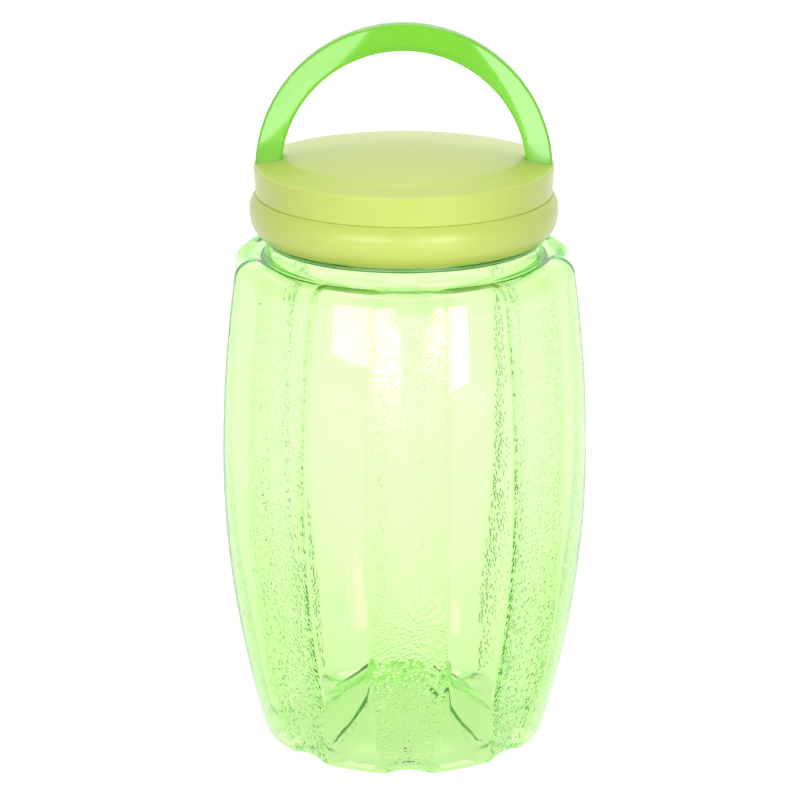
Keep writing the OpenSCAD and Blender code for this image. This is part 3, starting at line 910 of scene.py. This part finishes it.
class JAR_OT_cover(Operator):
    """Builds the cover with its side band, sloping deck and dome"""

    bl_idname = "jar.cover"
    bl_label = "Cover"

    def execute(self, context):
        s = context.scene.cap_sizes
        seam_z = SEAM_Z - s.seam
        band_in = s.inside_r + s.spigot_wall + s.seam
        band_r = band_in + s.band_wall
        rim_r = band_r + s.band_lean
        rim_z = seam_z + s.band_h
        dome_r = rim_r - s.deck_w
        slope = s.deck_rise / (s.deck_w - s.rim_r)
        step_in = dome_r - s.dome_step

        def deck(r):
            return rim_z + slope * (rim_r - s.rim_r - r)

        def dome(r):
            return deck(dome_r) + s.dome_step + s.dome_rise * (1 - (r / step_in) ** 2)

        step_out, step_low = dome_r + s.step_reach, step_in - s.step_reach
        outside = fillet_path(
            [
                (band_in, seam_z, 0),
                (band_r, seam_z, 0),
                (rim_r, rim_z, s.rim_r),
                (step_out, deck(step_out), s.step_r),
                (step_low, dome(step_low), s.step_r),
                (step_in * DOME_EDGE, dome(step_in * DOME_EDGE), 0),
            ]
        )
        # The dome's rows begin inside that edge and run to the axis
        spots = [step_in * k / DOME_ROWS for k in range(int(DOME_EDGE * DOME_ROWS) - 1, -1, -1)]
        top = [Vector((r, dome(r))) for r in spots]
        spots = [(dome_r - s.deck_t) * k / UNDER_ROWS for k in range(UNDER_ROWS + 1)]
        under = [Vector((r, dome(r) - s.deck_t)) for r in spots]
        closing = fillet_path(
            [
                (dome_r, deck(dome_r) - s.deck_t, 0),
                (band_in, deck(band_in) - s.deck_t, 0.3 * MM),
                (band_in, seam_z, 0),
            ]
        )
        path = [point for run in (outside, top, under, closing) for point in supported(run)]
        cover = turned("cap_dome", path, pp_satin())
        fitted(cover, "cap", "cap_pp", "cap_cover")
        return {"FINISHED"}


class JAR_OT_handle(Operator):
    """Builds the arched carrying handle"""

    bl_idname = "jar.handle"
    bl_label = "Handle"

    def execute(self, context):
        s, cap = context.scene.handle_sizes, context.scene.cap_sizes
        seam_z = SEAM_Z - cap.seam
        rim_r = cap.inside_r + cap.spigot_wall + cap.seam + cap.band_wall + cap.band_lean
        handle = grown(
            "handle_arch",
            bpy.data.meshes.new("handle_start"),
            node_tree("Arched bar", arch_tree),
            Radius=rim_r - s.inset - s.arch_t / 2,
            Foot=s.foot_rise,
            Thickness=s.arch_t,
            Edge=s.edge_r,
            Inner=s.arch_depth,
            Outer=s.arch_outer,
            Centre=(0.0, 0.0, seam_z + cap.band_h - s.drop),
            Turn=(math.pi / 2, 0.0, s.turn),
            Material=pp_clear(),
        )
        fitted(handle, "cap", "handle_pp", "carry_handle")
        return {"FINISHED"}


class JAR_OT_stage(Operator):
    """Sets up the floor, the lights, the world and the camera"""

    bl_idname = "jar.stage"
    bl_label = "Stage"

    def execute(self, context):
        scene = context.scene
        s = scene.stage_sizes
        scene.view_settings.view_transform = "Standard"
        # Light caught inside the wall needs many bounces to come out green
        scene.cycles.max_bounces = 48
        scene.cycles.glossy_bounces = 32
        scene.cycles.transmission_bounces = 48

        # Paper floor, white to the eye and through the plastic, with a soft shadow left on it
        mesh = bpy.data.meshes.new("floor")
        corners = [(s.floor * x, s.floor * y, 0) for x, y in ((-1, -1), (1, -1), (1, 1), (-1, 1))]
        mesh.from_pydata(corners, [], [(0, 1, 2, 3)])
        floor = bpy.data.objects.new("floor", mesh)
        scene.collection.objects.link(floor)
        paper = bpy.data.materials.new("Paper sweep")
        paper.use_nodes = True
        tree = paper.node_tree
        tree.nodes.clear()
        _, seen = seen_rays(tree)
        glow = add(tree, "ShaderNodeMath", {0: seen, 1: s.glow}, operation="MULTIPLY").outputs[0]
        lit = add(tree, "ShaderNodeBsdfDiffuse", {"Color": linear(scene.finishes.paper)}).outputs[0]
        shine = add(tree, "ShaderNodeEmission", {"Strength": glow}).outputs[0]
        both = add(tree, "ShaderNodeAddShader", {0: lit, 1: shine}).outputs[0]
        add(tree, "ShaderNodeOutputMaterial", {"Surface": both})
        mesh.materials.append(paper)

        world = bpy.data.worlds.new("White studio")
        scene.world = world
        world.use_nodes = True
        tree = world.node_tree
        tree.nodes.clear()
        rays, seen = seen_rays(tree)
        # The room in front of the jar and beside it is dimmer than the paper behind, as reflections show
        room_ends, paper_starts = -0.6, 0.4
        toward = add(tree, "ShaderNodeTexCoord").outputs["Generated"]
        ahead = add(tree, "ShaderNodeSeparateXYZ", {0: toward}).outputs["Y"]
        links = {0: ahead, 1: room_ends, 2: paper_starts, 3: s.room, 4: 1.0}
        room = add(tree, "ShaderNodeMapRange", links).outputs[0]
        links = {0: room, 1: rays["Is Camera Ray"]}
        shown = add(tree, "ShaderNodeMath", links, operation="MAXIMUM").outputs[0]
        level = add(tree, "ShaderNodeMix", {0: seen, 2: s.fill, 3: shown}).outputs[0]
        links = {"Color": (1.0, 1.0, 1.0, 1.0), "Strength": level}
        sky = add(tree, "ShaderNodeBackground", links).outputs[0]
        add(tree, "ShaderNodeOutputWorld", {"Surface": sky})

        # Soft boxes: name, place, the point it faces, size, power in watts
        for name, place, aim, size, power in (
            ("key_left", (-0.58, -1.05, 0.36), (0, 0, 0.36), (0.78, 0.58), 5.9),
            ("fill_right", (0.49, -1.1, 0.31), (0, 0, 0.31), (0.6, 0.6), 6.0),
            ("top", (0.0, 0.3, 1.3), (0, 0, 0.2), (0.9, 0.9), 5.0),
            ("back", (0.3, 1.1, 0.7), (0, 0, 0.22), (0.9, 0.6), 4.0),
        ):
            data = bpy.data.lights.new(name, "AREA")
            data.shape = "RECTANGLE"
            data.size, data.size_y = size
            data.energy = power
            lamp = bpy.data.objects.new(name, data)
            lamp.location = place
            lamp.rotation_euler = (Vector(aim) - Vector(place)).to_track_quat("-Z", "Y").to_euler()
            lamp.visible_camera = False
            # The light from behind is bounced off the paper, so no shape of it shows in the plastic
            lamp.visible_glossy = lamp.visible_transmission = name != "back"
            scene.collection.objects.link(lamp)

        data = bpy.data.cameras.new("camera")
        data.lens = s.lens
        data.sensor_width = 36.0
        camera = bpy.data.objects.new("camera", data)
        camera.location = (s.distance * math.sin(s.azimuth), -s.distance * math.cos(s.azimuth), s.height)
        camera.rotation_euler = Euler((math.pi / 2 - s.pitch, 0.0, s.azimuth + s.aside))
        scene.collection.objects.link(camera)
        scene.camera = camera
        return {"FINISHED"}


class JAR_PT_panel(Panel):
    """Lists the pieces of the jar"""

    bl_idname = "JAR_PT_panel"
    bl_label = "Storage jar"
    bl_space_type = "VIEW_3D"
    bl_region_type = "UI"
    bl_category = "Jar"

    def draw(self, context):
        for kind in OPERATORS:
            self.layout.operator(kind.bl_idname)
        for name, group in GROUPS.items():
            box = self.layout.box()
            box.label(text=group.__doc__)
            for field in group.__annotations__:
                box.prop(getattr(context.scene, name), field)


OPERATORS = (JAR_OT_shell, JAR_OT_liner, JAR_OT_screw_cap, JAR_OT_cover, JAR_OT_handle, JAR_OT_stage)


def register():
    for kind in (*GROUPS.values(), *OPERATORS, JAR_PT_panel):
        bpy.utils.register_class(kind)
    for name, group in GROUPS.items():
        setattr(bpy.types.Scene, name, PointerProperty(type=group))


def unregister():
    for name in GROUPS:
        delattr(bpy.types.Scene, name)
    for kind in reversed((*GROUPS.values(), *OPERATORS, JAR_PT_panel)):
        bpy.utils.unregister_class(kind)


def main():
    register()
    bpy.ops.jar.shell()
    bpy.ops.jar.liner()
    bpy.ops.jar.screw_cap()
    bpy.ops.jar.cover()
    bpy.ops.jar.handle()
    bpy.ops.jar.stage()


if __name__ == "__main__":
    main()
